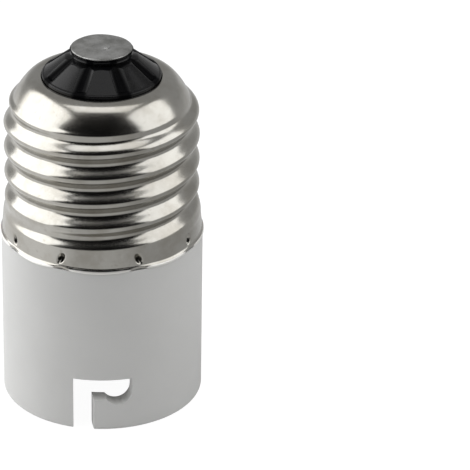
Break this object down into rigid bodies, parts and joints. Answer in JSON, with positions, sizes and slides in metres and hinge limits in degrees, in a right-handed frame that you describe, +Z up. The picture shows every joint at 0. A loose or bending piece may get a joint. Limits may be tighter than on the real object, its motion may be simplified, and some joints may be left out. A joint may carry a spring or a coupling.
{
  "type": "lamp socket adapter",
  "caption": "Lamp socket adapter with a screw cap on top and a bayonet socket below, with J-slots and sprung contact plungers.",
  "frame": {"origin": "centre of the open rim of the bayonet socket, on the surface the adapter stands on", "axes": "+Z up along the adapter's axis to the centre contact; +X through the two plungers; -Y towards one J-slot"},
  "size_m": [0.0278, 0.0278, 0.051],
  "materials": {
    "housing_plastic": "white-grey moulded thermoplastic, matt",
    "shell_nickel": "rolled sheet, bright nickel plate with faint rolling marks",
    "glass_black": "black glass, glossy",
    "contact_tinned": "dull mottled tin",
    "solder": "soft solder, satin",
    "plunger_brass": "turned brass, tarnished",
    "spring_wire": "drawn spring wire",
    "terminal_brass": "turned brass",
    "lead_copper": "tinned copper conductor",
    "lead_sleeve": "soft insulating sleeve"
  },
  "bodies": {
    "housing": {"housing": "housing_plastic", "screw_shell": "shell_nickel", "cap_insulator": "glass_black", "centre_contact": "contact_tinned", "tip_solder": "solder", "spring_left": "spring_wire", "spring_right": "spring_wire", "terminal_left": "terminal_brass", "terminal_right": "terminal_brass", "tip_lead_core": "lead_copper", "tip_lead_sleeve": "lead_sleeve", "shell_lead_core": "lead_copper", "shell_lead_sleeve": "lead_sleeve", "solder_left": "solder", "solder_right": "solder"},
    "plunger_left": {"plunger_left": "plunger_brass"},
    "plunger_right": {"plunger_right": "plunger_brass"}
  },
  "joints": [
    {"name": "plunger_left_press", "type": "slide", "parent": "housing", "child": "plunger_left", "axis": [0, 0, 1], "range_m": [0, 0.004], "stiffness_N_per_m": 600, "springref_m": -0.002, "deforming": ["spring_left"]},
    {"name": "plunger_right_press", "type": "slide", "parent": "housing", "child": "plunger_right", "axis": [0, 0, 1], "range_m": [0, 0.004], "stiffness_N_per_m": 600, "springref_m": -0.002, "deforming": ["spring_right"]}
  ]
}
